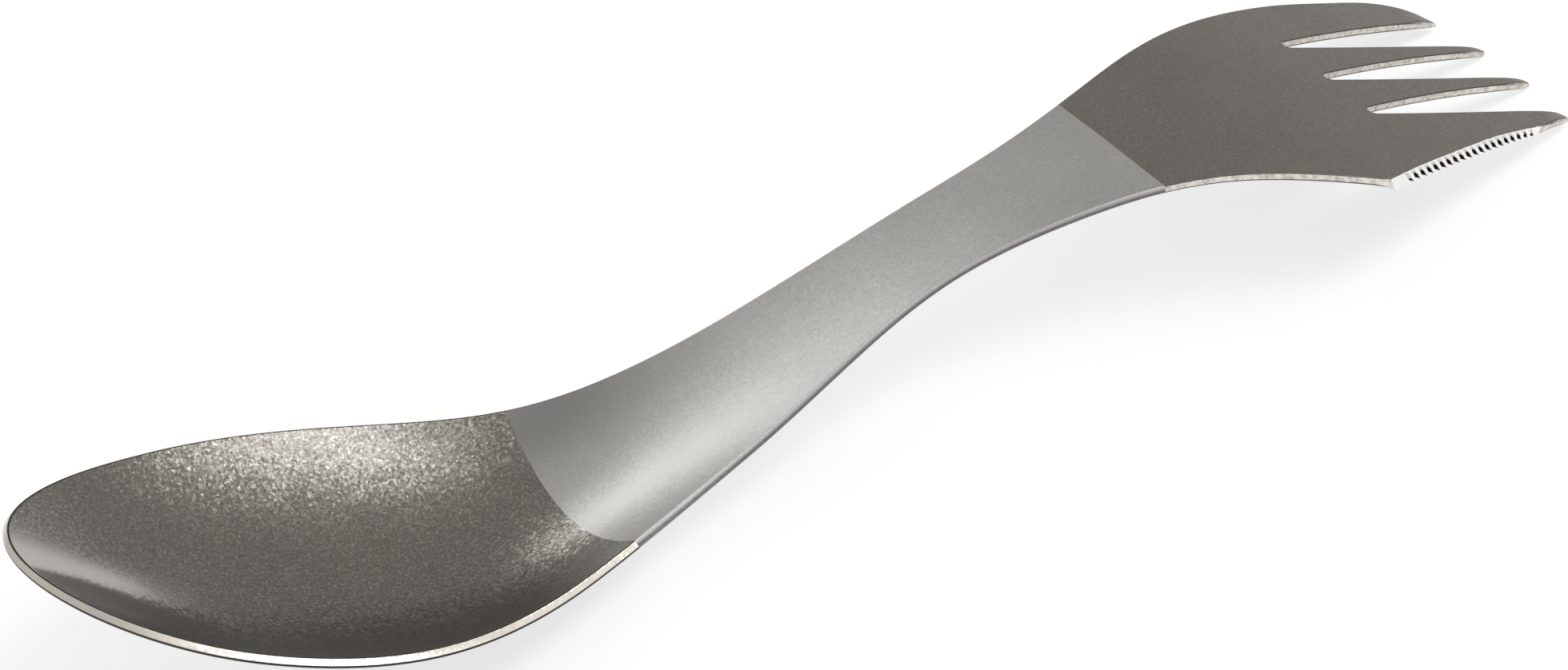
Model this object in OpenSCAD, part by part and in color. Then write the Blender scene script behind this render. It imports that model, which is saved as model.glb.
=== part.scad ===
// Titanium spork, pressed from one sheet: a spoon bowl at one end, a four-tined fork
// with a serrated edge at the other. It stands on the plane z = 0 and lies along X, with
// the bowl's tip at -X. The origin is the place on which the bowl rests. All sizes are in
// millimetres. Distances named _x run from the bowl's tip, and those named _back run back
// from the ends of the two middle tines.

/* [Overall] */
// Length from the bowl's tip to the ends of the two middle tines
length = 170; // [150:1:190]
// Thickness of the sheet
sheet_t = 1; // [0.6:0.05:1.4]

/* [Bowl] */
// Width of the bowl at its widest
bowl_w = 38; // [32:0.5:44]
// Distance from the tip to the widest place
bowl_wide_x = 31; // [26:0.5:36]
// Distance from the tip to the lowest place, on which the bowl rests
bowl_low_x = 45; // [40:0.5:50]
// Distance from the tip to the edge of the bowl's satin finish
bowl_end_x = 50.5; // [46:0.5:56]
// Depth of the hollow below the rim
bowl_depth = 7.5; // [5:0.25:10]
// Height of the tip above the table
bowl_tip_z = 29; // [20:0.5:34]
// Depth of the flat that the bowl stands on
rest_sag = 0.1; // [0.06:0.01:0.2]

/* [Handle] */
// Width at the waist
waist_w = 13; // [10:0.5:18]
// Distance from the tines' ends to the waist
waist_back = 73; // [66:0.5:80]

/* [Fork] */
// Distance from the tines' ends to the edge of the fork's polished finish
fork_back = 52.7; // [48:0.1:58]
// Distance from the tines' ends to the highest place of the fork's arch
crest_back = 46.5; // [42:0.5:52]
// Height of the arch above the table
crest_z = 17; // [12:0.5:22]
// Half width of the rounded shoulder on the plain side
shoulder_w = 17.5; // [15:0.25:20]
// Distance from the tines' ends to the corner where the knife edge starts
corner_back = 31.4; // [29:0.2:36]
// Distance from the centre line to that corner
corner_w = 21.3; // [18:0.1:23]
// How far the fork's long edges droop below its middle
fork_crown = 0.2; // [0:0.1:2]

/* [Tines] */
// Distance between the middle lines of neighbouring slots
tine_pitch = 7.9; // [7.2:0.1:8.6]
// Distance from the tines' ends to the roots of the slots
root_back = 24.5; // [21:0.5:27]
// Radius of each slot's root
root_r = 0.8; // [0.5:0.1:1.4]
// Width of a slot at the ends of the tines
slot_mouth_w = 6.5; // [5:0.1:6.8]
// How much shorter the two outer tines are
outer_short = 1.2; // [0:0.1:4]
// How much further out than its slot the plain outer tine ends
plain_tip_w = 1.1; // [0.6:0.1:1.6]
// How much further out than its slot the knife tine ends
knife_tip_w = 1.5; // [0.8:0.1:2]
// Length of the rounding at the ends of the two middle tines
inner_tip_len = 2; // [1:0.1:4]
// Length of the rounding at the ends of the two outer tines
outer_tip_len = 1.4; // [1:0.1:4]

/* [Knife edge] */
// Width of the ground bevel
bevel_w = 1; // [0.8:0.1:2]
// Number of teeth
tooth_n = 20; // [8:1:24]
// Distance between neighbouring teeth
tooth_pitch = 1.12; // [0.8:0.02:1.3]
// Distance from the corner to the first tooth
tooth_start = 1.9; // [1.5:0.1:5]
// Depth of the notches
tooth_depth = 0.6; // [0.3:0.05:0.75]

/* [Hidden] */

satin = [0.44, 0.43, 0.39];
blasted = [0.68, 0.67, 0.65];
polished = [0.36, 0.35, 0.32];
ground = [0.86, 0.85, 0.82];

// Side view of the middle line, in three stretches. Each row is a share of the stretch
// and a share of its height.
drop_shares = [[0, 1], [0.12, 0.74], [0.4, 0.34]];
climb_shares = [[0.25, 0.276], [0.48, 0.604], [0.78, 0.937]];
fall_shares = [[0.2, 0.9], [0.5, 0.6], [0.8, 0.25]];
// Outline of the nose: a share of the way to the widest place, a share of the width there
nose_shares = [0.3, 0.72];
// Outline from the widest place to the waist
neck_shares = [[0.29, 0.58], [0.6, 0.22]];
// Outline from the waist to the rounded shoulder, and from there to the outer tine's end
shoulder_shares = [[0.45, 0.24], [0.7, 0.7], [0.94, 0.98]];
outer_tine_shares = [[0.38, 0.94], [0.85, 0.53]];
// Outline from the waist to the corner
flare_shares = [[0.33, 0.21], [0.65, 0.5]];
// Depth of the hollow: a share of the way to the bowl's end, a share of its depth
hollow_shares = [[0, 0], [0.12, 0.48], [0.275, 0.81], [0.55, 1], [0.82, 0.87], [1.1, 0.49],
    [1.37, 0.18], [1.65, 0.08], [1.92, 0.05], [2.15, 0.022], [2.4, 0], [2.7, 0]];
// Width of the bevel: a share of its length, a share of its full width
bevel_shares = [[0, 0.82], [0.25, 1], [0.5, 1], [0.75, 0.87], [0.9, 0.44], [1, 0.07]];
// Bow and slant of the satin finish's edge, as shares of the bowl's width
bowl_line_bow_share = 0.04;
bowl_line_slant_share = 0.042;
// Slant of the polished finish's edge, as a share of the waist's width
fork_line_slant_share = 0.04;
// Stretch in which the crown builds up: a share of the way from the waist to the crest,
// and a share of the way from the crest to the roots of the slots
crown_shares = [0.25, 0.3];
// Height of the tines' ends, as a share of the sheet, which lets their undersides rest
tine_seat_share = 0.94;
// Place of the widest shoulder: a share of the way from the roots to the tines' ends
shoulder_place_share = 0.25;
// How far the ends of the outer tines lean towards the knife side, as a share of their half width
outer_lean_share = 0.5;
// How far the slots' sides bulge on their way to the mouth
slot_bulge_share = 0.7;

waist_x = length - waist_back;
fork_x = length - fork_back;
crest_x = length - crest_back;
corner_x = length - corner_back;
root_x = length - root_back;
bowl_line_bow = bowl_line_bow_share * bowl_w;
bowl_line_slant = bowl_line_slant_share * bowl_w;
fork_line_slant = fork_line_slant_share * waist_w;
crown_start_x = waist_x + (crest_x - waist_x) * crown_shares[0];
crown_end_x = crest_x + (root_x - crest_x) * crown_shares[1];

// Steps of the mesh
nose_steps = 14;
bowl_steps = 9;
handle_steps = 26;
palm_steps = 9;
tine_steps = 10;
cap_steps = 5;
root_steps = 5;
inner_columns = 6;
outer_columns = 8;
nose_turn = 3.4;
cap_turn = 75;
// Length over which a slope is measured
probe = sheet_t / 50;

// Natural cubic spline through points [x, y], each with its bend
function spline(points) =
    let (
        last = len(points) - 1,
        h = [for (i = [0 : last - 1]) points[i + 1].x - points[i].x],
        g = [for (i = [0 : last - 1]) (points[i + 1].y - points[i].y) / h[i]],
        down = eliminate(h, g, last),
        bends = substitute(down, last - 1, [0])
    )
    [for (i = [0 : last]) [points[i].x, points[i].y, i == 0 ? 0 : bends[i - 1]]];
function eliminate(h, g, last, i = 1, rows = [[0, 0]]) =
    i == last ? rows :
    let (pivot = 2 * (h[i - 1] + h[i]) - h[i - 1] * rows[i - 1][0])
    eliminate(h, g, last, i + 1,
        concat(rows, [[h[i] / pivot, (6 * (g[i] - g[i - 1]) - h[i - 1] * rows[i - 1][1]) / pivot]]));
function substitute(down, i, bends) =
    i == 0 ? bends : substitute(down, i - 1, concat([down[i][1] - down[i][0] * bends[0]], bends));
function segment(curve, x) =
    min(len(curve) - 2, max(0, len([for (p = curve) if (p.x <= x) 1]) - 1));
function along(curve, x) =
    let (
        i = segment(curve, x),
        a = curve[i],
        b = curve[i + 1],
        h = b.x - a.x,
        s = (x - a.x) / h,
        r = 1 - s
    )
    r * a.y + s * b.y + ((r * r * r - r) * a[2] + (s * s * s - s) * b[2]) * h * h / 6;
function stretch(x0, x1, y0, y1, shares) =
    [for (p = shares) [x0 + (x1 - x0) * p[0], y0 + (y1 - y0) * p[1]]];

// Middle line of the top face, seen from the side
low_z = sheet_t - rest_sag;
tine_end_z = sheet_t * tine_seat_share;
spine = spline(concat(
    stretch(0, bowl_low_x, low_z, bowl_tip_z, drop_shares),
    [[bowl_low_x, low_z]],
    stretch(bowl_low_x, crest_x, low_z, crest_z, climb_shares),
    [[crest_x, crest_z]],
    stretch(crest_x, length, tine_end_z, crest_z, fall_shares),
    [[length, tine_end_z]]));

// Both outlines are splines of the squared half width, which rounds the bowl's tip
outer_end_x = length - outer_short;
slot_mouth = slot_mouth_w / 2;
plain_tine_w = tine_pitch + slot_mouth + plain_tip_w;
knife_tine_w = tine_pitch + slot_mouth + knife_tip_w;
function squared(points) = [for (p = points) [p.x, p.y * p.y]];
shoulder_x = root_x + (outer_end_x - root_x) * shoulder_place_share;
bowl_points = concat(
    [[0, 0], [bowl_wide_x * nose_shares[0], bowl_w / 2 * nose_shares[1]]],
    [[bowl_wide_x, bowl_w / 2]],
    stretch(bowl_wide_x, waist_x, waist_w / 2, bowl_w / 2, neck_shares),
    [[waist_x, waist_w / 2]]);
plain_edge = spline(squared(concat(
    bowl_points,
    stretch(waist_x, shoulder_x, waist_w / 2, shoulder_w, shoulder_shares),
    [[shoulder_x, shoulder_w]],
    stretch(shoulder_x, outer_end_x, plain_tine_w, shoulder_w, outer_tine_shares),
    [[outer_end_x, plain_tine_w]])));
knife_side = spline(squared(concat(
    bowl_points,
    stretch(waist_x, corner_x, waist_w / 2, corner_w, flare_shares),
    [[corner_x, corner_w]])));
function plain_w(x) = sqrt(max(0, along(plain_edge, x)));
function knife_w(x) =
    x < corner_x ? sqrt(max(0, along(knife_side, x))) :
    blade_w(x) - bevel_at(x) * blade_per_x;

// The knife edge is a straight line from the corner to the knife tine's end, longer than
// the stretch of x that it covers. The bevel fades out one pitch beyond the last tooth.
blade_len = norm([outer_end_x - corner_x, corner_w - knife_tine_w]);
blade_per_x = blade_len / (outer_end_x - corner_x);
bevel_len = tooth_start + (tooth_n + 1) * tooth_pitch;
bevel_curve = spline(bevel_shares);
blade_start_w = corner_w + bevel_w * bevel_shares[0][1] * blade_per_x;
function blade_w(x) =
    blade_start_w + (knife_tine_w - blade_start_w) * (x - corner_x) / (outer_end_x - corner_x);
function bevel_at(x) =
    bevel_w * along(bevel_curve, min(1, (x - corner_x) * blade_per_x / bevel_len));

// Cross section: the hollow of the bowl, the flat handle, the crowned fork
hollow = spline([for (p = hollow_shares) [bowl_end_x * p[0], bowl_depth * p[1]]]);
hollow_end_x = bowl_end_x * hollow_shares[len(hollow_shares) - 2][0];
function ease(s) = let (t = min(1, max(0, s))) t * t * t * (10 - 15 * t + 6 * t * t);
function dish(x) =
    (x < hollow_end_x ? along(hollow, x) / max(probe * probe, along(plain_edge, x)) : 0)
    - fork_crown / (shoulder_w * shoulder_w)
        * ease((x - crown_start_x) / (crown_end_x - crown_start_x));
function top_z(x, y) = along(spine, x) + dish(x) * y * y;

// Points of the sheet above and below a place in the plan, at right angles to the sheet
function upright(x, y) =
    let (n = [(top_z(x - probe, y) - top_z(x + probe, y)) / (2 * probe), -2 * dish(x) * y, 1])
    n / norm(n);
function top(p) = [p.x - bowl_low_x, p.y, top_z(p.x, p.y)];
function under(p) =
    let (q = top(p) - sheet_t * upright(p.x, p.y))
    [q.x, q.y, max(0, q.z)];

// Closed solid between the top and the underside of a net of places in the plan,
// its rows running from the bowl to the fork and its columns from -Y to +Y
module sheet(rows) {
    m = len(rows);
    n = len(rows[0]);
    places = [for (r = rows) each r];
    count = m * n;
    rim = concat(
        [for (j = [0 : n - 1]) j],
        [for (i = [1 : m - 1]) i * n + n - 1],
        [for (j = [n - 2 : -1 : 0]) (m - 1) * n + j],
        [for (i = [m - 2 : -1 : 1]) i * n]);
    turns = len(rim);
    sides = [for (i = [0 : turns - 1]) [rim[i], rim[(i + 1) % turns]]];
    cells = [for (i = [0 : m - 2], j = [0 : n - 2]) i * n + j];
    polyhedron(
        points = concat([for (p = places) top(p)], [for (p = places) under(p)]),
        faces = concat(
            [for (a = cells) [a, a + 1, a + n]],
            [for (a = cells) [a + 1, a + n + 1, a + n]],
            [for (a = cells) [count + a, count + a + n, count + a + 1]],
            [for (a = cells) [count + a + 1, count + a + n, count + a + n + 1]],
            [for (s = sides) [s[1], s[0], count + s[0]]],
            [for (s = sides) [s[1], count + s[0], count + s[1]]]));
}

// The columns meet the middle lines of the slots at their roots
function steps(a, b, n) = [for (i = [0 : n]) a + (b - a) * i / n];
function tail(list) = [for (i = [1 : len(list) - 1]) list[i]];
root_columns = [
    steps(-knife_w(root_x), -tine_pitch, outer_columns),
    steps(-tine_pitch, 0, inner_columns),
    steps(0, tine_pitch, inner_columns),
    steps(tine_pitch, plain_w(root_x), outer_columns)];
across = [for (y = concat(root_columns[0], tail(root_columns[1]), tail(root_columns[2]),
    tail(root_columns[3]))) y < 0 ? y / knife_w(root_x) : y / plain_w(root_x)];
function place(x, v) = [x, v * (v < 0 ? knife_w(x) : plain_w(x))];
function bowl_line(v) = bowl_end_x - bowl_line_slant * v + bowl_line_bow * v * v;
function fork_line(v) = fork_x - fork_line_slant * v;

module spoon_bowl() {
    turns = steps(nose_turn, 90, nose_steps);
    nose = [for (a = turns) [for (v = across) place(bowl_wide_x * (1 - cos(a)), v)]];
    back = [for (s = tail(steps(0, 1, bowl_steps)))
        [for (v = across) place(bowl_wide_x + (bowl_line(v) - bowl_wide_x) * s, v)]];
    color(satin)
        sheet(concat(nose, back));
}

module handle() {
    color(blasted)
        sheet([for (s = steps(0, 1, handle_steps))
            [for (v = across) place(bowl_line(v) + (fork_line(v) - bowl_line(v)) * s, v)]]);
}

// Places along the blade: two to a tooth, then the slot's root, then two to a tooth again
tooth_step = tooth_pitch / blade_per_x / 2;
tooth_start_x = corner_x + tooth_start / blade_per_x;
outer_cap_x = outer_end_x - outer_tip_len;
blade_xs = [for (x = [tooth_start_x - tooth_step * 2 : tooth_step : outer_cap_x - tooth_step / 2]) x];
root_xs = [for (a = steps(0, 90, root_steps)) root_x + root_r * (1 - cos(a))];
palm_blade_xs = [for (x = blade_xs) if (x > corner_x + tooth_step && x < root_x - tooth_step / 3) x];
tine_blade_xs = [for (x = blade_xs) if (x > root_x + root_r + tooth_step / 3) x];

module fork_palm() {
    flare = [for (s = steps(0, 1, palm_steps))
        [for (v = across) place(fork_line(v) + (corner_x - fork_line(v)) * s, v)]];
    blade = [for (x = concat(palm_blade_xs, [root_x])) [for (v = across) place(x, v)]];
    color(polished)
        sheet(concat(flare, blade));
}

// Half width of a slot: a round root, then sides that curve out to its mouth
function slot_w(x) =
    let (s = (x - root_x - root_r) / (length - root_x - root_r))
    s < 0 ? sqrt(max(0, root_r * root_r - (root_x + root_r - x) * (root_x + root_r - x))) :
    root_r + (slot_mouth - root_r) * s * (1 + slot_bulge_share * (1 - s));

// One tine between two edges, which are functions of x. Its end narrows them in a quarter
// turn, which starts along both edges and may lean.
module tine(xs, cap_x, end_x, low, high, columns, lean = 0) {
    body = [for (x = concat(xs, [cap_x])) [for (s = steps(0, 1, columns))
        [x, low(x) + (high(x) - low(x)) * s]]];
    cap = [for (a = tail(steps(0, cap_turn, cap_steps)))
        let (
            x = cap_x + (end_x - cap_x) * sin(a) / sin(cap_turn),
            middle = (low(x) + high(x)) / 2,
            half = (high(x) - low(x)) / 2
        )
        [for (s = steps(-1, 1, columns)) [x, middle + half * (cos(a) * s - lean * (1 - cos(a)))]]];
    sheet(concat(body, cap));
}

inner_cap_x = length - inner_tip_len;
function tine_xs(cap_x) = concat(root_xs,
    [for (s = [1 : tine_steps - 1]) root_x + root_r + (cap_x - root_x - root_r) * s / tine_steps]);

module plain_outer_tine() {
    color(polished)
        tine(tine_xs(outer_cap_x), outer_cap_x, outer_end_x,
            function (x) tine_pitch + slot_w(x), function (x) plain_w(x), outer_columns,
            outer_lean_share);
}

module plain_inner_tine() {
    color(polished)
        tine(tine_xs(inner_cap_x), inner_cap_x, length,
            function (x) slot_w(x), function (x) tine_pitch - slot_w(x), inner_columns);
}

module knife_inner_tine() {
    color(polished)
        tine(tine_xs(inner_cap_x), inner_cap_x, length,
            function (x) slot_w(x) - tine_pitch, function (x) -slot_w(x), inner_columns);
}

module knife_tine() {
    color(polished)
        tine(concat(root_xs, tine_blade_xs), outer_cap_x, outer_end_x,
            function (x) -knife_w(x), function (x) -tine_pitch - slot_w(x), outer_columns,
            outer_lean_share);
}

// Depth of the notches: a triangle wave over the toothed stretch
function notch(x) =
    let (s = (x - tooth_start_x) / (2 * tooth_step))
    s <= 0 || s >= tooth_n ? 0 : tooth_depth * (1 - abs(2 * (s - floor(s)) - 1));

// The ground bevel, a strip of three-sided sections along the sheet's knife side
module serrated_edge() {
    outward = [corner_w - knife_tine_w, corner_x - outer_end_x] / blade_len;
    bevel_end_x = corner_x + bevel_len / blade_per_x;
    blade = concat([corner_x], palm_blade_xs, root_xs, tine_blade_xs, [outer_cap_x]);
    xs = [for (x = blade) if (x < bevel_end_x + tooth_step / 2) x];
    last = len(xs) - 1;
    color(ground)
        polyhedron(
            points = [for (x = xs) let (p = [x, -knife_w(x)], w = bevel_at(x))
                each [top(p), under(p), under(p + outward * w * (1 - notch(x) / bevel_w))]],
            faces = concat(
                [[0, 1, 2], [3 * last, 3 * last + 2, 3 * last + 1]],
                [for (i = [0 : last - 1], j = [0 : 2])
                    let (a = 3 * i + j, b = 3 * i + (j + 1) % 3) [a, a + 3, b]],
                [for (i = [0 : last - 1], j = [0 : 2])
                    let (a = 3 * i + j, b = 3 * i + (j + 1) % 3) [b, a + 3, b + 3]]));
}

spoon_bowl();
handle();
fork_palm();
plain_outer_tine();
plain_inner_tine();
knife_inner_tine();
knife_tine();
serrated_edge();
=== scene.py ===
"""Looks of the titanium spork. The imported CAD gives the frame; each of its eight nodes is
replaced by a finer piece of the same zone of the sheet, with rounded edges and its own finish.
Everything is in metres. As in the CAD, places named _X run from the bowl's tip, and sizes
named _BACK run back from the tines' ends."""

import math

import bmesh
import bpy
import numpy as np
from mathutils import Matrix, Vector


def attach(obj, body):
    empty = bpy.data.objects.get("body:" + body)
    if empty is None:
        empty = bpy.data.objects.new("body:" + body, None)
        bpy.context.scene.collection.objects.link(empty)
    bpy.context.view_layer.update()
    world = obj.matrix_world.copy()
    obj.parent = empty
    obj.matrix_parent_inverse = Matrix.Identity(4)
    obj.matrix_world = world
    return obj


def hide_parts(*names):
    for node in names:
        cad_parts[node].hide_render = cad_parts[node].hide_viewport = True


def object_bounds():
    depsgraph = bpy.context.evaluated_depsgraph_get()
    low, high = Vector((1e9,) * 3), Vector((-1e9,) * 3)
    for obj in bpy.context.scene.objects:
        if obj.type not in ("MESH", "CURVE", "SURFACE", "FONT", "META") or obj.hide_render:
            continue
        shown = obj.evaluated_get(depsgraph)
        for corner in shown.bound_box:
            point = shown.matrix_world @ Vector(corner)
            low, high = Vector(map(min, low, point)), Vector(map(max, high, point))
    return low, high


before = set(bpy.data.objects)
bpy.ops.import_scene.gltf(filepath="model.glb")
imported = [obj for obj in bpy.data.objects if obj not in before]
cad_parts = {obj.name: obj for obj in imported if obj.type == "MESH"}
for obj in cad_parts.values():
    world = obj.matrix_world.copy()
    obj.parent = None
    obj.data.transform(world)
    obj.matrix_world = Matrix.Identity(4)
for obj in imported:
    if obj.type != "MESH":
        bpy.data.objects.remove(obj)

CAD_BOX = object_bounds()

# The sheet, as the CAD has it

LENGTH = 0.170
SHEET_T = 0.001
BOWL_W = 0.038
BOWL_WIDE_X = 0.031
BOWL_LOW_X = 0.045
BOWL_END_X = 0.0505
BOWL_DEPTH = 0.0075
BOWL_TIP_Z = 0.029
REST_SAG = 0.0001
WAIST_W = 0.013
WAIST_BACK = 0.073
FORK_BACK = 0.0527
CREST_BACK = 0.0465
CREST_Z = 0.017
SHOULDER_W = 0.0175
CORNER_BACK = 0.0314
CORNER_W = 0.0213
FORK_CROWN = 0.0002
TINE_PITCH = 0.0079
ROOT_BACK = 0.0245
ROOT_R = 0.0008
SLOT_MOUTH_W = 0.0065
OUTER_SHORT = 0.0012
PLAIN_TIP_W = 0.0011
KNIFE_TIP_W = 0.0015
INNER_TIP_LEN = 0.002
OUTER_TIP_LEN = 0.0014
BEVEL_W = 0.001
TOOTH_N = 20
TOOTH_PITCH = 0.00112
TOOTH_START = 0.0019
TOOTH_DEPTH = 0.0006

# Points of its curves: shares of the way, and of the height or width, between two places
DROP_SHARES = [(0, 1), (0.12, 0.74), (0.4, 0.34)]
CLIMB_SHARES = [(0.25, 0.276), (0.48, 0.604), (0.78, 0.937)]
FALL_SHARES = [(0.2, 0.9), (0.5, 0.6), (0.8, 0.25)]
NOSE_SHARES = (0.3, 0.72)
NECK_SHARES = [(0.29, 0.58), (0.6, 0.22)]
SHOULDER_SHARES = [(0.45, 0.24), (0.7, 0.7), (0.94, 0.98)]
OUTER_TINE_SHARES = [(0.38, 0.94), (0.85, 0.53)]
FLARE_SHARES = [(0.33, 0.21), (0.65, 0.5)]
HOLLOW_SHARES = [(0, 0), (0.12, 0.48), (0.275, 0.81), (0.55, 1), (0.82, 0.87), (1.1, 0.49),
                 (1.37, 0.18), (1.65, 0.08), (1.92, 0.05), (2.15, 0.022), (2.4, 0), (2.7, 0)]
BEVEL_SHARES = [(0, 0.82), (0.25, 1), (0.5, 1), (0.75, 0.87), (0.9, 0.44), (1, 0.07)]
CROWN_SHARES = (0.25, 0.3)
BOWL_LINE_BOW_SHARE = 0.04
BOWL_LINE_SLANT_SHARE = 0.042
FORK_LINE_SLANT_SHARE = 0.04
TINE_SEAT_SHARE = 0.94
SHOULDER_PLACE_SHARE = 0.25
OUTER_LEAN_SHARE = 0.5
SLOT_BULGE_SHARE = 0.7

# Places and sizes that follow from these
WAIST_X = LENGTH - WAIST_BACK
FORK_X = LENGTH - FORK_BACK
CREST_X = LENGTH - CREST_BACK
CORNER_X = LENGTH - CORNER_BACK
ROOT_X = LENGTH - ROOT_BACK
OUTER_END_X = LENGTH - OUTER_SHORT
INNER_CAP_X = LENGTH - INNER_TIP_LEN
OUTER_CAP_X = OUTER_END_X - OUTER_TIP_LEN
SHOULDER_X = ROOT_X + (OUTER_END_X - ROOT_X) * SHOULDER_PLACE_SHARE
CROWN_START_X = WAIST_X + (CREST_X - WAIST_X) * CROWN_SHARES[0]
CROWN_END_X = CREST_X + (ROOT_X - CREST_X) * CROWN_SHARES[1]
HOLLOW_END_X = BOWL_END_X * HOLLOW_SHARES[-2][0]
LOW_Z = SHEET_T - REST_SAG
TINE_END_Z = SHEET_T * TINE_SEAT_SHARE
SLOT_MOUTH = SLOT_MOUTH_W / 2
PLAIN_TINE_W = TINE_PITCH + SLOT_MOUTH + PLAIN_TIP_W
KNIFE_TINE_W = TINE_PITCH + SLOT_MOUTH + KNIFE_TIP_W
BOWL_LINE_BOW = BOWL_LINE_BOW_SHARE * BOWL_W
BOWL_LINE_SLANT = BOWL_LINE_SLANT_SHARE * BOWL_W
FORK_LINE_SLANT = FORK_LINE_SLANT_SHARE * WAIST_W
BLADE_RUN = OUTER_END_X - CORNER_X
BLADE_LEN = math.hypot(BLADE_RUN, CORNER_W - KNIFE_TINE_W)
BLADE_PER_X = BLADE_LEN / BLADE_RUN
BLADE_START_W = CORNER_W + BEVEL_W * BEVEL_SHARES[0][1] * BLADE_PER_X
BEVEL_LEN = TOOTH_START + (TOOTH_N + 1) * TOOTH_PITCH
BEVEL_END_X = CORNER_X + BEVEL_LEN / BLADE_PER_X

# Fine form that only the looks have

# Edges of the sheet: the rounding of the top and of the underside, and how far in from an
# edge the mesh follows it
TOP_ROUND = 0.00013
UNDER_ROUND = 0.0003
EDGE_BAND = 0.0005
# The tines' ends are rounded over: length and depth of that
TIP_FALL_LEN = 0.0032
TIP_FALL = 0.0005
# Over this length before a tine's end the rounding above and below grows by these shares,
# and the upper one turns bare from this many degrees on
TIP_SOFT_LEN = 0.0068
TIP_SOFTER = 2.5
TIP_UNDER_SOFTER = 0.7
TIP_WALL_TURN = 25
# From both ends of the bevel the edge's rounding grows over this length
CORNER_SOFT_LEN = 0.0012
# The bowl's tip is worn smooth: fully where x and y are below the first of these places,
# and not at all beyond the second
WORN_X = (0.005, 0.018)
WORN_Y = (-0.001, 0.006)
# The bare wall is dull at the bowl's tip and bright from the second of these places on
DULL_X = (0.004, 0.011)
DULL_SHARE = 0.5
# The upper part of the handle's wall is like its face, down to this share of the wall; below it the
# wall has painted shade
DARK_FROM_SHARE = 0.5
# Painted shade darkens the handle's face near the bowl on the plain side, standing in for a darker
# reflection there: over this length, and from none to full between these places across
PAINTED_SHADE_LEN = 0.027
PAINTED_SHADE_Y = (0.003, 0.0125)
# The notches: where they begin on the bevel, how wide they are in their pitch, how much
# lower their upper ends lie at the sides, how far they lean, and their most depth in the bevel
NOTCH_TOP_SHARE = 0.3
END_NOTCH_TOP_SHARE = 0.6
NOTCH_WIDTH_SHARE = 0.55
NOTCH_ARCH_SHARE = 0.35
NOTCH_LEAN = 0.00045
NOTCH_MOST_SHARE = 0.7
# A faint streak of painted shade runs above each notch, from this share of the bevel on
STREAK = 0.3
STREAK_FROM_SHARE = 0.08

# Meshes: the smallest steps, and the numbers of steps

PROBE = 0.00002
WELD = 1e-7
SHARP_ANGLE = math.radians(32)
CORE_STEPS = 12
BOWL_CORE_STEPS = 18
TINE_CORE_STEPS = 7
BAND_STEPS = 3
ROUND_STEPS = 5
WALL_STEPS = 3
NOSE_STEPS = 44
BACK_STEPS = 30
HANDLE_STEPS = 90
PALM_STEPS = 44
BLADE_STEPS = 14
TINE_STEPS = 40
CAP_STEPS = 9
ROOT_STEPS = 9
TOOTH_STEPS = 20
BEVEL_STEPS = 16
# How strongly stations crowd together towards the bowl's tip and the palm's corner
NOSE_CROWDING = 1.25
PALM_CROWDING = 1.4
# The nose's sections start round this place, spread by this power
NOSE_FOCUS_X = 0.0115
NOSE_CORE_POWER = 1.5
# The edge's band and its rounding are at most these shares of the section and of the band
BAND_MOST_SHARE = 0.6
ROUND_MOST_SHARE = 0.8
# The bare wall begins at this turn of the rounding, in degrees
WALL_TURN = 70
# The seam of palm and tines lies just before the slots' roots
SEAM_X = ROOT_X - EDGE_BAND
MARKS = "marks"


# Curves

def spline(points):
    """Natural cubic spline through points (x, y), as a function of x."""
    x, y = np.array(points, float).T
    h = np.diff(x)
    n = len(x)
    rows = np.eye(n)
    right = np.zeros(n)
    for i in range(1, n - 1):
        rows[i, i - 1:i + 2] = h[i - 1], 2 * (h[i - 1] + h[i]), h[i]
        right[i] = 6 * ((y[i + 1] - y[i]) / h[i] - (y[i] - y[i - 1]) / h[i - 1])
    bends = np.linalg.solve(rows, right)

    def along(at):
        at = np.asarray(at, float)
        i = np.clip(np.searchsorted(x, at, side="right") - 1, 0, n - 2)
        s = (at - x[i]) / h[i]
        r = 1 - s
        bent = (r**3 - r) * bends[i] + (s**3 - s) * bends[i + 1]
        return r * y[i] + s * y[i + 1] + bent * h[i]**2 / 6
    return along


def stretch(x0, x1, y0, y1, shares):
    """Points between x0 and x1, at shares of the way and of the rise from y0 to y1."""
    return [(x0 + (x1 - x0) * a, y0 + (y1 - y0) * b) for a, b in shares]


def ease(share):
    """Smooth step from 0 to 1, level at both ends."""
    t = np.clip(share, 0, 1)
    return t**3 * (10 - 15 * t + 6 * t**2)


def fade(value, full, none):
    """Share that is 1 at the place full and eases to 0 at the place none."""
    return ease((none - value) / (none - full))


def steps(a, b, n):
    """The n + 1 even steps from a to b."""
    return np.linspace(a, b, n + 1)


def spread(a, b, n, power):
    """Steps from a to b that crowd together towards b."""
    return b + (a - b) * (1 - steps(0, 1, n))**power


def outline(points):
    """Half width along x, from a spline of its square, which rounds the bowl's tip."""
    squared = spline([(x, w * w) for x, w in BOWL_POINTS + points])

    def width(x):
        return np.sqrt(np.maximum(0, squared(x)))
    return width


# The sheet's own form

BOWL_POINTS = (
    [(0, 0), (BOWL_WIDE_X * NOSE_SHARES[0], BOWL_W / 2 * NOSE_SHARES[1])]
    + [(BOWL_WIDE_X, BOWL_W / 2)]
    + stretch(BOWL_WIDE_X, WAIST_X, WAIST_W / 2, BOWL_W / 2, NECK_SHARES)
    + [(WAIST_X, WAIST_W / 2)])

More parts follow.
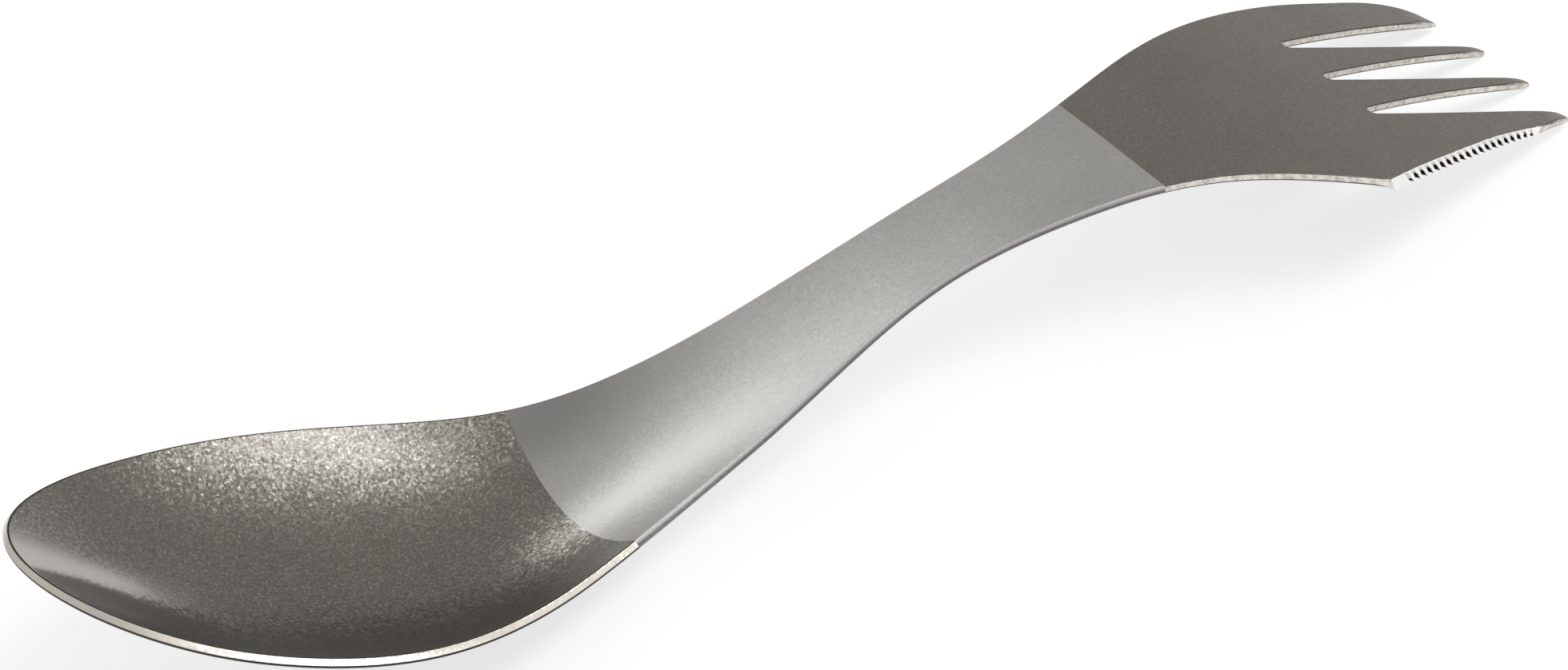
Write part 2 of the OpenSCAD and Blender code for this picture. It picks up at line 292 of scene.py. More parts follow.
spine = spline(
    stretch(0, BOWL_LOW_X, LOW_Z, BOWL_TIP_Z, DROP_SHARES) + [(BOWL_LOW_X, LOW_Z)]
    + stretch(BOWL_LOW_X, CREST_X, LOW_Z, CREST_Z, CLIMB_SHARES) + [(CREST_X, CREST_Z)]
    + stretch(CREST_X, LENGTH, TINE_END_Z, CREST_Z, FALL_SHARES) + [(LENGTH, TINE_END_Z)])
hollow = spline([(BOWL_END_X * a, BOWL_DEPTH * b) for a, b in HOLLOW_SHARES])
bevel_share = spline(BEVEL_SHARES)
plain_w = outline(
    stretch(WAIST_X, SHOULDER_X, WAIST_W / 2, SHOULDER_W, SHOULDER_SHARES)
    + [(SHOULDER_X, SHOULDER_W)]
    + stretch(SHOULDER_X, OUTER_END_X, PLAIN_TINE_W, SHOULDER_W, OUTER_TINE_SHARES)
    + [(OUTER_END_X, PLAIN_TINE_W)])
flare_w = outline(
    stretch(WAIST_X, CORNER_X, WAIST_W / 2, CORNER_W, FLARE_SHARES) + [(CORNER_X, CORNER_W)])


def bevel_at(x):
    """Width of the ground bevel."""
    return BEVEL_W * bevel_share(np.minimum(1, (x - CORNER_X) * BLADE_PER_X / BEVEL_LEN))


def knife_w(x):
    """Half width on the knife side, up to the bevel."""
    edge = BLADE_START_W + (KNIFE_TINE_W - BLADE_START_W) * (x - CORNER_X) / BLADE_RUN
    return np.where(x < CORNER_X, flare_w(x), edge - bevel_at(x) * BLADE_PER_X)


def dish(x):
    """Rise across the sheet, over the square of y."""
    near = np.maximum(x, PROBE)
    bowl = np.where(x < HOLLOW_END_X, hollow(near) / plain_w(near)**2, 0)
    crown = ease((x - CROWN_START_X) / (CROWN_END_X - CROWN_START_X))
    return bowl - FORK_CROWN / SHOULDER_W**2 * crown


def top_z(x, y):
    """Height of the sheet's top face."""
    return spine(x) + dish(x) * y * y


def slot_w(x):
    """Half width of a slot: a round root, then sides that curve out to its mouth."""
    centre = ROOT_X + ROOT_R
    s = (x - centre) / (LENGTH - centre)
    side = ROOT_R + (SLOT_MOUTH - ROOT_R) * s * (1 + SLOT_BULGE_SHARE * (1 - s))
    return np.where(s < 0, np.sqrt(np.maximum(0, ROOT_R**2 - (centre - x)**2)), side)


def bowl_line(v):
    """Border of bowl and handle, at v from -1 at the knife side to 1 at the plain side."""
    return BOWL_END_X - BOWL_LINE_SLANT * v + BOWL_LINE_BOW * v * v


def fork_line(v):
    """Border of handle and palm, at the same v."""
    return FORK_X - FORK_LINE_SLANT * v


def lift(x, y, depth):
    """Places in the sheet, so far below its top face and at right angles to it."""
    slope = (top_z(x + PROBE, y) - top_z(x - PROBE, y)) / (2 * PROBE)
    normal = np.stack([-slope, -2 * dish(x) * y, np.ones_like(slope)], -1)
    normal /= np.linalg.norm(normal, axis=-1, keepdims=True)
    place = np.stack([x - BOWL_LOW_X, y, top_z(x, y)], -1) - depth[..., None] * normal
    place[..., 2] = np.maximum(0, place[..., 2])
    return place


# Skins of the sheet

def section(core_steps):
    """Path of a section from the core over the top, round the edge and back underneath, as
    steps (way, band, turn, down): its shares of the way from the core to the edge band and
    of that band, its turn round the edge in degrees, and its share of the wall."""
    way = [(i / core_steps, 0, 0, 0) for i in range(core_steps)]
    band = [(1, i / BAND_STEPS, 0, 0) for i in range(BAND_STEPS)]
    turn = [(1, 1, 90 * i / ROUND_STEPS, 0) for i in range(ROUND_STEPS + 1)]
    wall = [(1, 1, 90, i / WALL_STEPS) for i in range(1, WALL_STEPS)]
    under = [(a, b, c, 1) for a, b, c, _ in reversed(way + band + turn)]
    return np.array(way + band + turn + wall + under, float).T


def aimed(rim, core):
    """Unit directions from places of the rim to those of the core."""
    aim = core - rim
    return aim / np.linalg.norm(aim, axis=1)[:, None]


def column(value, n):
    """One value for each of n stations, as a column."""
    return np.broadcast_to(value, n)[:, None]


def patch(rim, core, aim=None, soft=1.0, top_soft=None, bow=0.0, end_x=None,
          core_steps=CORE_STEPS):
    """Grid of places round the edge of the sheet, one section for each station. rim and core
    are the stations' ends in the plan, aim the direction in which a section leaves the rim,
    soft scales the rounding, which top_soft does above if given, bow bends the section, and
    end_x is where a tine ends."""
    n = len(rim)
    aim = aimed(rim, core) if aim is None else aim
    soft, bow = column(soft, n), column(bow, n)
    top_soft = soft if top_soft is None else column(top_soft, n)
    reach = np.linalg.norm(core - rim, axis=1)[:, None]
    band = np.minimum(EDGE_BAND, BAND_MOST_SHARE * reach)
    way, inward, turn, down = section(core_steps)
    bend = np.radians(turn)
    under = down == 1
    radius = np.where(under, soft * UNDER_ROUND, top_soft * TOP_ROUND)
    radius = np.minimum(radius, ROUND_MOST_SHARE * band)
    offset = np.where(inward < 1, band + (radius - band) * inward, radius * (1 - np.sin(bend)))
    depth = radius * (1 - np.cos(bend))
    wall = SHEET_T - top_soft * TOP_ROUND - soft * UNDER_ROUND
    depth = np.where(under, SHEET_T - depth, depth + np.maximum(0, wall) * down)
    inner = rim + band * aim
    plan = np.where(
        (way < 1)[:, None],
        core[:, None] + (inner - core)[:, None] * way[:, None],
        rim[:, None] + aim[:, None] * offset[..., None])
    plan[..., 0] += bow * (way * way - way)
    if end_x is not None:
        fall = np.clip((plan[..., 0] - end_x) / TIP_FALL_LEN + 1, 0, 1)
        depth = TIP_FALL * fall**2 + depth * (1 - TIP_FALL / SHEET_T * fall**2)
    return lift(plan[..., 0], plan[..., 1], depth)


def section_marks(core_steps):
    """Marks of a section's points: the wall, and the lines over and under it, which are painted
    shade along the edge's roundings.
    """
    _, _, turn, down = section(core_steps)
    wall = np.where(turn >= WALL_TURN, 1.0, 0.0)
    # Painted shade: the roundings above and below the edge get the dark line mark
    line = np.where((turn > 0) & (turn < 90), 1.0, 0.0)
    return np.stack([wall, line, 0 * wall], 1)


def quads(rows, width, columns, first=0):
    """Faces of a grid that is numbered row by row from first. It closes round on itself
    where columns is its whole width."""
    def at(i, j):
        return first + i * width + j % width
    return [(at(i, j), at(i + 1, j), at(i + 1, j + 1), at(i, j + 1))
            for i in range(rows - 1) for j in range(columns)]


def end_faces(first, width, core_steps):
    """Faces that close a patch at the station that begins with the point first."""
    last = first + width - 1
    flat = core_steps + BAND_STEPS
    faces = [(first + j, first + j + 1, last - j - 1, last - j) for j in range(flat)]
    return faces + [list(range(first + flat, last - flat + 1))]


def skin(grids, core_steps=CORE_STEPS):
    """Points, faces and marks of patches, each of them closed at its two ends."""
    places, faces, marks, first = [], [], [], 0
    for grid in grids:
        n, width = grid.shape[:2]
        places.append(grid.reshape(-1, 3))
        marks.append(np.tile(section_marks(core_steps), (n, 1)))
        faces += quads(n, width, width - 1, first)
        for station in (0, n - 1):
            faces += end_faces(first + station * width, width, core_steps)
        first += n * width
    return np.concatenate(places), faces, np.concatenate(marks)


def strip(side, start, stop, core_start, core_stop, shares, **more):
    """Half of a stretch of the sheet between two lines across it."""
    width = plain_w if side > 0 else knife_w
    x = start + (stop - start) * shares
    core_x = core_start + (core_stop - core_start) * shares
    return patch(np.stack([x, side * width(x)], 1), np.stack([core_x, 0 * x], 1), **more)


# Pieces: each builder gives points, faces, and each point's marks

def bowl_side(side):
    """Stations of one side of the bowl, from the border with the handle to the tip."""
    width = plain_w if side > 0 else knife_w
    turns = np.radians(spread(90, 0, NOSE_STEPS, NOSE_CROWDING))
    back = steps(1, 0, BACK_STEPS)[:-1]
    nose_x = BOWL_WIDE_X * (1 - np.cos(turns))
    rim_x = np.concatenate([BOWL_WIDE_X + (bowl_line(side) - BOWL_WIDE_X) * back, nose_x])
    nose_shares = (nose_x / BOWL_WIDE_X)**NOSE_CORE_POWER
    core_x = np.concatenate([BOWL_WIDE_X + (BOWL_END_X - BOWL_WIDE_X) * back,
                             NOSE_FOCUS_X + (BOWL_WIDE_X - NOSE_FOCUS_X) * nose_shares])
    rim = np.stack([rim_x, side * width(rim_x)], 1)
    core = np.stack([core_x, 0 * core_x], 1)
    return rim, core, np.concatenate([BOWL_LINE_BOW * back, 0 * turns])


def build_bowl():
    """The bowl: its tip is worn on the knife side, and its wall is dull there."""
    knife = [part[::-1][1:] for part in bowl_side(-1)]
    rim, core, bow = (np.concatenate(pair) for pair in zip(bowl_side(1), knife))
    grid = patch(rim, core, bow=bow, core_steps=BOWL_CORE_STEPS)
    places, faces, marks = skin([grid], BOWL_CORE_STEPS)
    x, y = places[:, 0] + BOWL_LOW_X, places[:, 1]
    marks[:, 2] = fade(y, *WORN_Y) * fade(x, *WORN_X)
    marks[:, 0] *= DULL_SHARE + (1 - DULL_SHARE) * fade(x, DULL_X[1], DULL_X[0])
    return places, faces, marks


def build_handle():
    """The handle: only the lower part of its wall is dark, with painted shade, and painted shade
    darkens its face near the bowl on the plain side."""
    shares = steps(0, 1, HANDLE_STEPS)
    places, faces, marks = skin([
        strip(side, bowl_line(side), fork_line(side), BOWL_END_X, FORK_X, shares,
              bow=BOWL_LINE_BOW * (1 - shares)) for side in (1, -1)])
    down = np.resize(section(CORE_STEPS)[3], len(marks))
    # Painted shade: the lower part of the handle's wall takes the dark wall grey, standing in for
    # the dark reflection of the shade under the handle
    marks[:, 0] *= down > DARK_FROM_SHARE
    x, y = places[:, 0] + BOWL_LOW_X, places[:, 1]
    # Painted shade: the blue mark darkens the face near the bowl on the plain side, standing in for
    # the darker reflection there
    painted_shade = fade(y, PAINTED_SHADE_Y[1], PAINTED_SHADE_Y[0]) * ease(1 - (x - bowl_line(1)) / PAINTED_SHADE_LEN)
    marks[:, 2] = np.cbrt(painted_shade) * (down == 0)
    return places, faces, marks


def build_palm():
    """The palm: its knife side has no rounding beyond the corner, where the bevel begins."""
    shares = spread(0, 1, PALM_STEPS, PALM_CROWDING)
    plain = strip(1, fork_line(1), SEAM_X, FORK_X, SEAM_X, shares)
    start = fork_line(-1)
    x = np.concatenate([spread(start, CORNER_X, PALM_STEPS, PALM_CROWDING),
                        steps(CORNER_X, SEAM_X, BLADE_STEPS)[1:]])
    soft = np.clip((CORNER_X - x) / CORNER_SOFT_LEN, 0, 1)
    shares = (x - start) / (SEAM_X - start)
    knife = strip(-1, start, SEAM_X, FORK_X, SEAM_X, shares, soft=soft)
    return skin([plain, knife])


def slot_side(axis, sign, cap_x, middle):
    """Stations along one side of a slot, from its root to where the tine's end begins."""
    turns = np.radians(steps(0, 90, ROOT_STEPS))
    centre = ROOT_X + ROOT_R
    side_x = steps(centre, cap_x, TINE_STEPS)[1:]
    rim = np.concatenate([
        np.stack([centre - ROOT_R * np.cos(turns), axis + sign * ROOT_R * np.sin(turns)], 1),
        np.stack([side_x, axis + sign * slot_w(side_x)], 1)])
    core_x = np.concatenate([SEAM_X + (centre - SEAM_X) * turns / turns[-1], side_x])
    core = np.stack([core_x, middle(core_x)], 1)
    aim = aimed(rim, core)
    aim[:len(turns)] = np.stack([-np.cos(turns), sign * np.sin(turns)], 1)
    return rim, core, aim


def outer_side(sign, width, middle):
    """Stations along the outer side of an outer tine."""
    x = np.concatenate([steps(SEAM_X, ROOT_X + ROOT_R, ROOT_STEPS),
                        steps(ROOT_X + ROOT_R, OUTER_CAP_X, TINE_STEPS)[1:]])
    rim = np.stack([x, sign * width(x)], 1)
    core = np.stack([x, middle(x)], 1)
    return rim, core, aimed(rim, core)


def tine_cap(low, high, cap_x, end_x, lean):
    """Stations round a tine's end, which narrows the curves of both its sides."""
    turns = np.radians(steps(0, 180, 2 * CAP_STEPS))[1:-1]
    x = cap_x + (end_x - cap_x) * np.sin(turns)
    middle = (low(x) + high(x)) / 2
    half = (high(x) - low(x)) / 2
    rim = np.stack([
        x, middle - half * (np.cos(turns) + lean * (1 - np.abs(np.cos(turns))))], 1)
    core = np.broadcast_to([cap_x, (low(cap_x) + high(cap_x)) / 2], rim.shape)
    return rim, core, aimed(rim, core)


def build_tine(low, high, low_side, high_side, cap_x, end_x, lean=0.0, low_soft=1.0):
    """One tine between two sides, with a rounded end that is bare on its rounding."""
    back = tuple(part[::-1] for part in high_side)
    sides = low_side, tine_cap(low, high, cap_x, end_x, lean), back
    rim, core, aim = (np.concatenate(parts) for parts in zip(*sides))
    soft = np.ones(len(rim))
    soft[:len(low_side[0])] = low_soft
    near_end = ease((rim[:, 0] - end_x) / TIP_SOFT_LEN + 1)
    grid = patch(rim, core, aim=aim, soft=soft * (1 + TIP_UNDER_SOFTER * near_end),
                 top_soft=soft * (1 + TIP_SOFTER * near_end), end_x=end_x,
                 core_steps=TINE_CORE_STEPS)
    places, faces, marks = skin([grid], TINE_CORE_STEPS)
    turn = section(TINE_CORE_STEPS)[2]
    bare = np.repeat(near_end, len(turn)) * np.tile(turn > TIP_WALL_TURN, len(rim))
    marks[:, 0] = np.maximum(marks[:, 0], bare)
    marks[:, 1] *= 1 - bare
    return places, faces, marks


def build_inner_tine(low_axis):
    """The inner tine between the slot at low_axis and the next one on the plain side."""
    high_axis = low_axis + TINE_PITCH

    def low(x):
        return low_axis + slot_w(x)

    def high(x):
        return high_axis - slot_w(x)

    def middle(x):
        return low_axis + TINE_PITCH / 2 + 0 * x
    return build_tine(low, high, slot_side(low_axis, 1, INNER_CAP_X, middle),
                      slot_side(high_axis, -1, INNER_CAP_X, middle), INNER_CAP_X, LENGTH)


def build_plain_inner_tine():
    """The inner tine on the plain side."""
    return build_inner_tine(0)


def build_knife_inner_tine():
    """The inner tine on the knife side."""
    return build_inner_tine(-TINE_PITCH)


def build_plain_outer_tine():
    """The outer tine under the rounded shoulder."""
    def low(x):
        return TINE_PITCH + slot_w(x)

    def middle(x):
        return (low(x) + plain_w(x)) / 2
    return build_tine(low, plain_w, slot_side(TINE_PITCH, 1, OUTER_CAP_X, middle),
                      outer_side(1, plain_w, middle), OUTER_CAP_X, OUTER_END_X,
                      lean=OUTER_LEAN_SHARE)


def build_knife_tine():
    """The outer tine behind the bevel, whose edge is rounded only beyond the bevel's end."""
    def low(x):
        return -knife_w(x)

    def high(x):
        return -TINE_PITCH - slot_w(x)

    def middle(x):
        return (low(x) + high(x)) / 2
    blade = outer_side(-1, knife_w, middle)
    blade_x = blade[0][:, 0]
    return build_tine(low, high, blade, slot_side(-TINE_PITCH, -1, OUTER_CAP_X, middle),
                      OUTER_CAP_X, OUTER_END_X, lean=OUTER_LEAN_SHARE,
                      low_soft=np.clip((blade_x - BEVEL_END_X) / CORNER_SOFT_LEN, 0, 1))


def notches(x, across):
    """Which places on the bevel lie in a notch's width, and their shares of its depth and
    their depth below the bevel."""
    pitch = TOOTH_PITCH / BLADE_PER_X
    first = CORNER_X + TOOTH_START / BLADE_PER_X
    phase = (x[:, None] - first - NOTCH_LEAN * across) / pitch
    from_middle = np.abs(2 * (phase - np.floor(phase)) - 1) / NOTCH_WIDTH_SHARE
    inside = (phase > 0) & (phase < TOOTH_N) & (from_middle < 1)
    at_end = (phase < 1) | (phase > TOOTH_N - 1)
    start = np.where(at_end, END_NOTCH_TOP_SHARE, NOTCH_TOP_SHARE)
    arch = start + (1 - start) * NOTCH_ARCH_SHARE * from_middle**2
    share = np.where(inside, np.clip((across - arch) / (1 - start), 0, 1), 0)
    cut = TOOTH_DEPTH * np.sqrt(share) * np.sqrt(np.clip(1 - from_middle**2, 0, 1))
    return inside, share, np.minimum(cut, NOTCH_MOST_SHARE * bevel_at(x)[:, None])


def build_serration():
    """The ground bevel with its notches, which the second mark darkens with painted shade."""
    step = TOOTH_PITCH / BLADE_PER_X / TOOTH_STEPS
    x = np.append(np.arange(CORNER_X, BEVEL_END_X, step), BEVEL_END_X)
    across = steps(0, 1, BEVEL_STEPS)[None, :]
    inside, share, cut = notches(x, across)
    outward = np.array([CORNER_W - KNIFE_TINE_W, CORNER_X - OUTER_END_X, 0]) / BLADE_LEN
    top = lift(x, -knife_w(x), 0 * x)
    under = lift(x, -knife_w(x), 0 * x + SHEET_T)
    edge = under + outward * bevel_at(x)[:, None]
    face = top[:, None] + (edge - top)[:, None] * across[..., None] - outward * cut[..., None]
    grid = np.concatenate([face, under[:, None]], 1)
    n, width = grid.shape[:2]
    faces = quads(n, width, width)
    faces += [list(range(width)), list(range((n - 1) * width, n * width))]
    marks = np.zeros((n, width, 3))
    # Painted shade: the notches take the near-black line grey, and a faint streak of it runs above
    # each
    streak = STREAK * (inside & (across > STREAK_FROM_SHARE))
    marks[:, :-1, 1] = np.where(share > 0, 1, streak)
    return grid.reshape(-1, 3), faces, marks.reshape(-1, 3)


# Materials

GRAIN_STOPS = (0.3, 0.52, 0.7)
CLOUD_STOPS = (0.3, 0.7)
CLOUD_GREY = (0.93, 0.93, 0.93)
WHITE = (1, 1, 1)
MID_GREY = (0.5, 0.5, 0.5)
WALL_STOPS = (0.35, 0.6)
WALL_GRAIN = 0.0006
WEAR_AND_SHADE_TILT = 0.012
# A worn place, or a place of painted shade, takes its colour late, by this power of its mark
WEAR_AND_SHADE_POWER = 3
# A warm grey loses this much more blue than it gains red
BLUE_PER_RED = 1.6


def put(tree, socket, value):
    """Gives a socket a number, a vector, a colour without its alpha or a node's output."""
    if isinstance(value, bpy.types.NodeSocket):
        tree.links.new(value, socket)
    elif socket.type == "RGBA":
        socket.default_value = (*value, 1)
    else:
        socket.default_value = value


def add(tree, kind, sockets=None, **settings):
    """A shader node with its settings, and what its sockets get, by name or number."""
    item = tree.nodes.new("ShaderNode" + kind)
    for name, value in settings.items():
        setattr(item, name, value)
    for name, value in (sockets or {}).items():
        put(tree, item.inputs[name], value)
    return item


def new_material(name):
    """A material, its node tree and its shader."""
    material = bpy.data.materials.new(name)
    material.use_nodes = True
    tree = material.node_tree
    return material, tree, tree.nodes["Principled BSDF"]


def noise(tree, place, size, detail=2.0, roughness=0.5):
    """Noise with features of about this size."""
    return add(tree, "TexNoise", {"Vector": place, "Scale": 1 / size, "Detail": detail,
                                  "Roughness": roughness}).outputs["Fac"]


def ramp(tree, source, stops, colours):
    """Colour ramp with colours at the stops."""
    item = add(tree, "ValToRGB", {"Fac": source})
    elements = item.color_ramp.elements
    while len(elements) < len(stops):
        elements.new(0.5)
    for element, stop, colour in zip(elements, stops, colours):
        element.position = stop
        element.color = (*colour, 1)
    return item.outputs["Color"]


def blend(tree, share, first, second, how="MIX"):
    """Mix of two colours by a share."""
    return add(tree, "MixRGB", {"Fac": share, "Color1": first, "Color2": second},
               blend_type=how).outputs["Color"]


def between(tree, share, first, second, start=0.0, stop=1.0):
    """Number that goes from first to second while the share goes from start to stop."""
    return add(tree, "MapRange", {
        "Value": share, "From Min": start, "From Max": stop, "To Min": first,
        "To Max": second}).outputs["Result"]


def grey(value, warmth):
    """Warm grey: the red up and the blue down by the warmth."""
    return (value * (1 + warmth), value, value * (1 - BLUE_PER_RED * warmth))


def flecks(tree, place, size, amount):
    """Surface normal that each fleck of the grain tilts its own way."""
    cells = add(tree, "TexVoronoi", {"Vector": place, "Scale": 1 / size})
    tilt = add(tree, "VectorMath", {0: cells.outputs["Color"], 1: MID_GREY},
               operation="SUBTRACT")
    own = add(tree, "VectorMath", {0: tilt.outputs[0], "Scale": amount}, operation="SCALE")
    normal = add(tree, "NewGeometry").outputs["Normal"]
    total = add(tree, "VectorMath", {0: normal, 1: own.outputs[0]}, operation="ADD")
    return add(tree, "VectorMath", {0: total.outputs[0]}, operation="NORMALIZE").outputs[0]


def face_colour(tree, place, grain, tones, warmth, mottle):
    """Grained grey with faint clouds."""
    grained = ramp(tree, grain, GRAIN_STOPS, [grey(tone, warmth) for tone in tones])
    clouds = ramp(tree, noise(tree, place, mottle), CLOUD_STOPS, (CLOUD_GREY, WHITE))
    return blend(tree, 1, grained, clouds, "MULTIPLY")


def wall_colour(tree, place, tones, warmth):
    """Mottled grey of the sheared walls."""
    rough = noise(tree, place, WALL_GRAIN, detail=4, roughness=0.7)
    return ramp(tree, rough, WALL_STOPS, [grey(tone, warmth) for tone in tones])


def metal(name, tones, warmth, grain, tilt, roughness, mottle, wall, wall_roughness, wear_and_shade,
          wear_and_shade_roughness, line=None):
    """Grained metal with bare walls, dark lines and worn places or places of painted shade where
    the mesh marks them; the dark lines are painted shade too, and so is the bare wall on the
    handle. tones are the grain's dark, middle and light grey, grain its size, tilt that of its
    flecks, mottle the size of its clouds, and wall, the wear-and-shade grey and line the greys of
    the marked places."""
    material, tree, shader = new_material(name)
    place = add(tree, "TexCoord").outputs["Object"]
    marks = add(tree, "Attribute", attribute_name=MARKS).outputs["Color"]
    on_wall, on_line, on_wear_and_shade = add(tree, "SeparateColor", {"Color": marks}).outputs
    fine = noise(tree, place, grain, detail=3, roughness=0.65)
    colour = face_colour(tree, place, fine, tones, warmth, mottle)
    # The blue mark: real wear at the bowl's tip, painted shade on the handle's face near the bowl
    wear_and_shade_share = add(tree, "Math", {0: on_wear_and_shade, 1: WEAR_AND_SHADE_POWER}, operation="POWER").outputs[0]
    colour = blend(tree, wear_and_shade_share, colour, grey(wear_and_shade, warmth))
    # On the handle the wall grey is painted shade
    colour = blend(tree, on_wall, colour, wall_colour(tree, place, wall, warmth))
    if line is not None:
        # Painted shade: the line grey darkens the edges' roundings and the notches
        colour = blend(tree, on_line, colour, grey(line, warmth))
    rough = between(tree, fine, *roughness, GRAIN_STOPS[0], GRAIN_STOPS[-1])
    rough = between(tree, on_wear_and_shade, rough, wear_and_shade_roughness)
    rough = between(tree, on_wall, rough, wall_roughness)
    normal = flecks(tree, place, grain, between(tree, on_wear_and_shade, tilt, WEAR_AND_SHADE_TILT))
    shader.inputs["Metallic"].default_value = 1
    tree.links.new(colour, shader.inputs["Base Color"])
    tree.links.new(rough, shader.inputs["Roughness"])
    tree.links.new(normal, shader.inputs["Normal"])
    return material


def satin(name):
    """Grained satin of the bowl, worn smooth at its tip, with a bright wall and painted shade along
    its edges' roundings.
    """
    return metal(
        name, tones=(0.125, 0.175, 0.31), warmth=0.05, grain=0.00028, tilt=0.15,
        roughness=(0.36, 0.26), mottle=0.006, wall=(0.93, 0.97), wall_roughness=0.25,
        wear_and_shade=0.34, wear_and_shade_roughness=0.11, line=0.03)


def blasted(name):
    """Fine, pale blasting of the handle, with painted shade on the lower part of its wall and on
    its face near the bowl on the plain side.
    """
    return metal(
        name, tones=(0.36, 0.4, 0.45), warmth=0.015, grain=0.00025, tilt=0.05,
        # The wall grey here is painted shade on the lower wall, and the grey of the blue mark is
        # painted shade on the face near the bowl
        roughness=(0.4, 0.47), mottle=0.009, wall=(0.14, 0.18), wall_roughness=0.4,
        wear_and_shade=0.19, wear_and_shade_roughness=0.43)


def polished(name):
    """Smooth, darker satin of the fork, with mottled walls and painted shade along its edges'
    roundings.
    """
    return metal(
        name, tones=(0.155, 0.187, 0.233), warmth=0.05, grain=0.0003, tilt=0.08,
        roughness=(0.38, 0.44), mottle=0.007, wall=(0.42, 0.75), wall_roughness=0.5,
        wear_and_shade=0.4, wear_and_shade_roughness=0.3, line=0.08)


def ground(name):
    """Bright bevel of the knife edge, with painted shade in its notches and a faint streak of it
    above each.
    """
    return metal(
        name, tones=(0.92, 0.95, 0.98), warmth=0.01, grain=0.0002, tilt=0.02,
        roughness=(0.42, 0.5), mottle=0.003, wall=(0.8, 0.9), wall_roughness=0.3,
        wear_and_shade=0.9, wear_and_shade_roughness=0.3, line=0.008)


# Assembly

FINISHES = {"satin_titanium": satin, "blasted_titanium": blasted,
            "polished_titanium": polished, "ground_titanium": ground}
PIECES = {
    "bowl_skin": ("spoon_bowl", "satin_titanium", build_bowl),
    "handle_skin": ("handle", "blasted_titanium", build_handle),
    "palm_skin": ("fork_palm", "polished_titanium", build_palm),
    "plain_outer_tine_skin": ("plain_outer_tine", "polished_titanium", build_plain_outer_tine),
    "plain_inner_tine_skin": ("plain_inner_tine", "polished_titanium", build_plain_inner_tine),
    "knife_inner_tine_skin": ("knife_inner_tine", "polished_titanium", build_knife_inner_tine),
    "knife_tine_skin": ("knife_tine", "polished_titanium", build_knife_tine),
    "serrated_edge_skin": ("serrated_edge", "ground_titanium", build_serration),
}


def marked_mesh(name, places, faces, marks):
    """A smooth-shaded mesh inside the CAD's box. marks gives each point's share of bare wall, which
    on the handle is painted shade (red), of dark line, which is painted shade on the edges'
    roundings and in the notches (green), and of wear on the bowl and painted shade on the handle's
    face near the bowl (blue)."""
    mesh = bpy.data.meshes.new(name)
    places = np.clip(places, *(np.array(corner) for corner in CAD_BOX))
    mesh.from_pydata([tuple(p) for p in places], [], [tuple(f) for f in faces])
    colours = np.ones((len(places), 4), np.float32)
    colours[:, :3] = marks
    layer = mesh.color_attributes.new(MARKS, "FLOAT_COLOR", "POINT")
    layer.data.foreach_set("color", colours.ravel())
    work = bmesh.new()
    work.from_mesh(mesh)
    bmesh.ops.remove_doubles(work, verts=work.verts, dist=WELD)
    bmesh.ops.dissolve_degenerate(work, edges=work.edges, dist=WELD)
    bmesh.ops.recalc_face_normals(work, faces=work.faces)
    work.to_mesh(mesh)
    work.free()
    mesh.shade_smooth()
    mesh.set_sharp_from_angle(angle=SHARP_ANGLE)
    return mesh


def show(name, data):
    """A new object of the scene with this data."""
    item = bpy.data.objects.new(name, data)
    bpy.context.scene.collection.objects.link(item)
    return item


def place_pieces():
    """All pieces. Each rides on the spork and stands for its CAD node."""
    materials = {slot: finish(slot) for slot, finish in FINISHES.items()}
    for name, (node, slot, build) in PIECES.items():
        piece = show(name, marked_mesh(name, *build()))
        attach(piece, "root")
        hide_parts(node)
        piece.data.materials.append(materials[slot])


# Floor, light and camera

FLOOR_HALF = 3.0
FLOOR_DROP = 0.00002
PAPER = (0.93, 0.93, 0.93)
PAPER_ROUGHNESS = 0.9
WHITE_SHARE = 0.7
WORLD_GREY = (0.655, 0.64, 0.615)
# Lamps: azimuth from +X towards +Y and elevation in degrees, distance and size in metres,
# and watts. A row of soft ones on the right, two behind for the handle, one in front for
# the rims
LAMP_TARGET = Vector((0.04, 0, 0.008))
LAMPS = {
    "key_low": (-12, 38, 0.7, 0.22, 0.65),
    "key": (-27, 50, 0.7, 0.32, 0.67),
    "key_high": (-42, 60, 0.7, 0.32, 0.95),
    "key_top": (-75, 70, 0.7, 0.35, 0.45),
    "back": (108, 34, 0.8, 0.4, 0.4),
    "back_low": (102, 26, 0.8, 0.3, 0.6),
    "front": (-80, 20, 0.8, 0.5, 1.5),
}
# The photograph's camera, fitted to the spork's outline: heading from +X towards +Y, angle
# below the horizon, and roll, in degrees
CAMERA_PLACE = Vector((-0.0377, -0.2098, 0.1969))
CAMERA_HEADING = 71.38
CAMERA_DIP = 40.02
CAMERA_ROLL = -13.28
SENSOR_MM = 36.0
FOCAL_PIXELS = 3500.0
PHOTO_W_PIXELS = 1960.0
CLIP_NEAR = 0.01
CLIP_FAR = 20


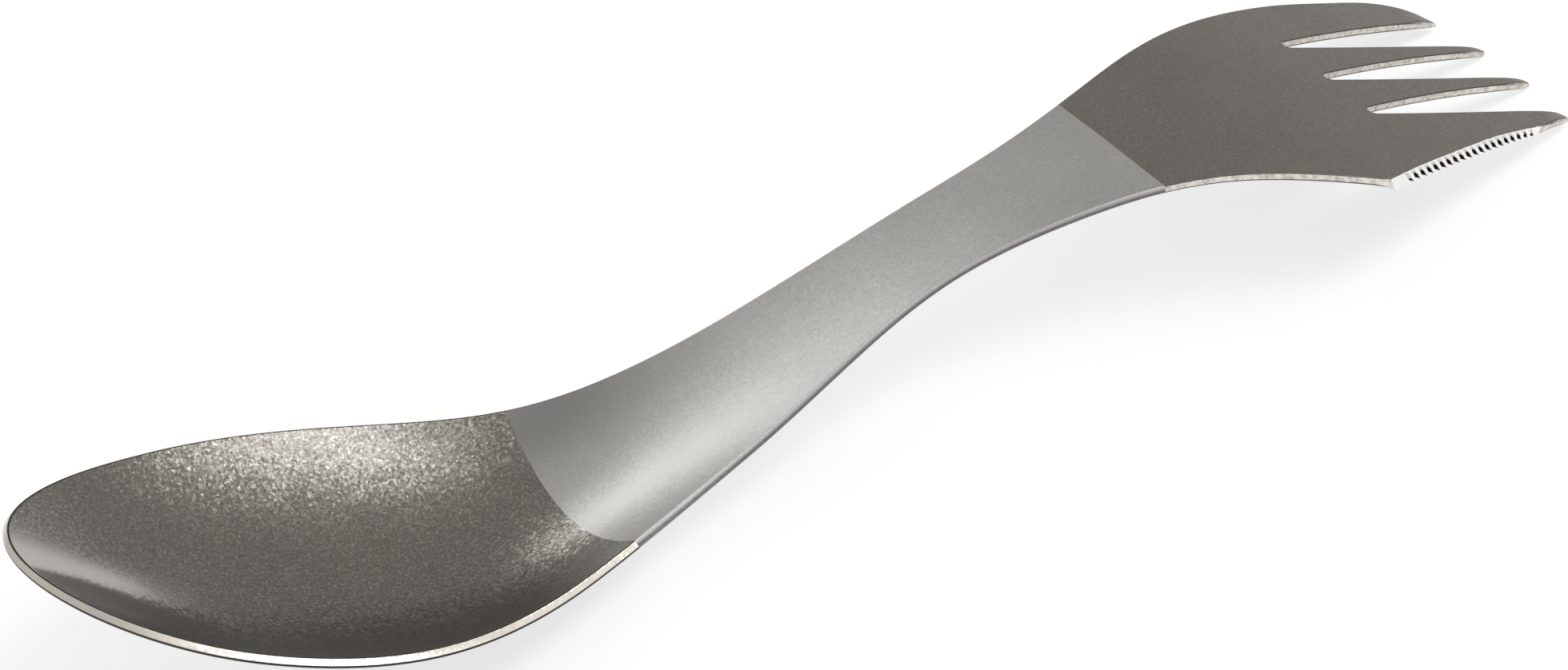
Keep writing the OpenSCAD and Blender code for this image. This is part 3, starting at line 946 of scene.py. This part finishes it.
def paper_white():
    """White paper. Camera, glossy and transmission rays see it mostly at plain white, so that
    the spork's shadow stays light."""
    material, tree, lit = new_material("paper")
    lit.inputs["Base Color"].default_value = (*PAPER, 1)
    lit.inputs["Roughness"].default_value = PAPER_ROUGHNESS
    rays = add(tree, "LightPath").outputs
    seen = add(tree, "Math", {0: rays["Is Camera Ray"], 1: WHITE_SHARE}, operation="MULTIPLY")
    for name in ("Is Glossy Ray", "Is Transmission Ray"):
        seen = add(tree, "Math", {0: rays[name], 1: WHITE_SHARE, 2: seen.outputs[0]},
                   operation="MULTIPLY_ADD")
    white = add(tree, "Emission")
    mix = add(tree, "MixShader", {0: seen.outputs[0], 1: lit.outputs[0], 2: white.outputs[0]})
    tree.links.new(mix.outputs[0], tree.nodes["Material Output"].inputs["Surface"])
    return material


def place_floor():
    """A wide sheet of paper just below the spork."""
    corners = [(x * FLOOR_HALF, y * FLOOR_HALF, 0) for x, y in ((-1, -1), (1, -1), (1, 1), (-1, 1))]
    mesh = bpy.data.meshes.new("floor")
    mesh.from_pydata(corners, [], [(0, 1, 2, 3)])
    mesh.materials.append(paper_white())
    floor = show("floor", mesh)
    floor.location.z = -FLOOR_DROP


def place_lamp(name, azimuth, elevation, distance, size, watts):
    """An area lamp that faces the spork."""
    data = bpy.data.lights.new(name, "AREA")
    data.shape = "DISK"
    data.size = size
    data.energy = watts
    item = show(name, data)
    a, e = math.radians(azimuth), math.radians(elevation)
    away = Vector((math.cos(a) * math.cos(e), math.sin(a) * math.cos(e), math.sin(e)))
    item.location = LAMP_TARGET + away * distance
    item.rotation_euler = (-away).to_track_quat("-Z", "Y").to_euler()


def set_world():
    """Even, slightly warm grey all round."""
    world = bpy.data.worlds.new("studio")
    bpy.context.scene.world = world
    world.use_nodes = True
    world.node_tree.nodes["Background"].inputs["Color"].default_value = (*WORLD_GREY, 1)


def place_camera():
    """The camera at the photograph's place."""
    data = bpy.data.cameras.new("camera")
    data.sensor_width = SENSOR_MM
    data.lens = SENSOR_MM * FOCAL_PIXELS / PHOTO_W_PIXELS
    data.clip_start = CLIP_NEAR
    data.clip_end = CLIP_FAR
    camera = show("camera", data)
    bpy.context.scene.camera = camera
    level = Matrix.Rotation(math.radians(CAMERA_HEADING - 90), 4, "Z")
    dip = Matrix.Rotation(math.radians(90 - CAMERA_DIP), 4, "X")
    roll = Matrix.Rotation(math.radians(CAMERA_ROLL), 4, "Z")
    camera.matrix_world = Matrix.Translation(CAMERA_PLACE) @ level @ dip @ roll


place_pieces()
place_floor()
for name, numbers in LAMPS.items():
    place_lamp(name, *numbers)
set_world()
place_camera()
bpy.context.scene.view_settings.view_transform = "Standard"
